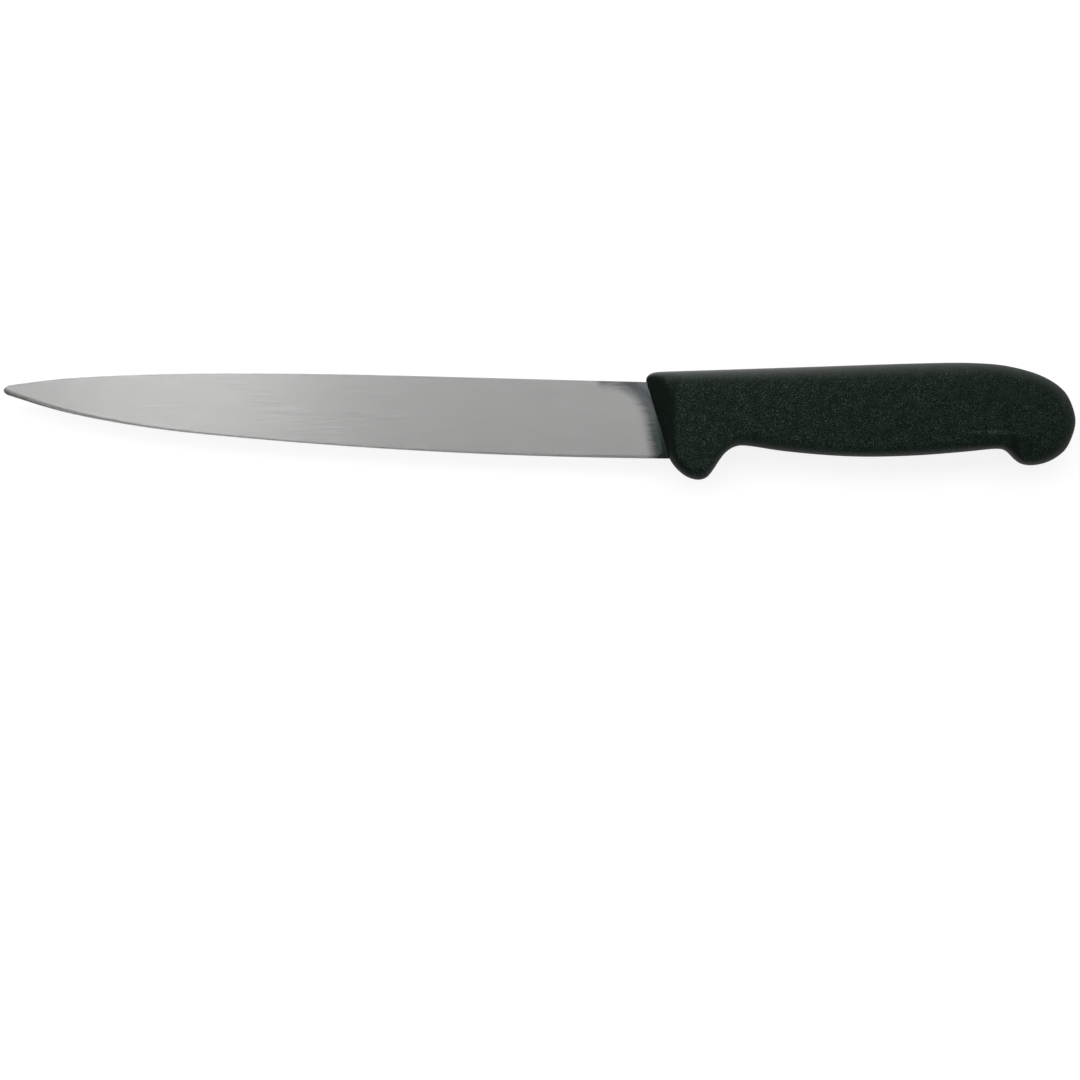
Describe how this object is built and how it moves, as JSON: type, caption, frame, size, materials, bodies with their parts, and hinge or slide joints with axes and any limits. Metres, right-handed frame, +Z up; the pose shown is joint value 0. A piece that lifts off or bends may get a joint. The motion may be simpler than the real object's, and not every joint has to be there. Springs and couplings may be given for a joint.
{
  "type": "fillet knife",
  "caption": "Flexible fillet knife: slim tapered blade with an upswept point, moulded handle with a finger guard in front and a hooked butt.",
  "frame": {"origin": "under the middle of the knife's bounding box, on the surface that it lies on", "axes": "the knife lies on its side: +X from the tip to the butt, +Y from the cutting edge to the spine, +Z up out of the side that shows"},
  "size_m": [0.33, 0.0361, 0.0216],
  "materials": {
    "blade_steel": "ground lengthwise to a fine satin",
    "handle_plastic": "moulded with a fine spark-eroded grain"
  },
  "bodies": {
    "root": {"blade": "blade_steel", "handle": "handle_plastic"}
  },
  "joints": []
}
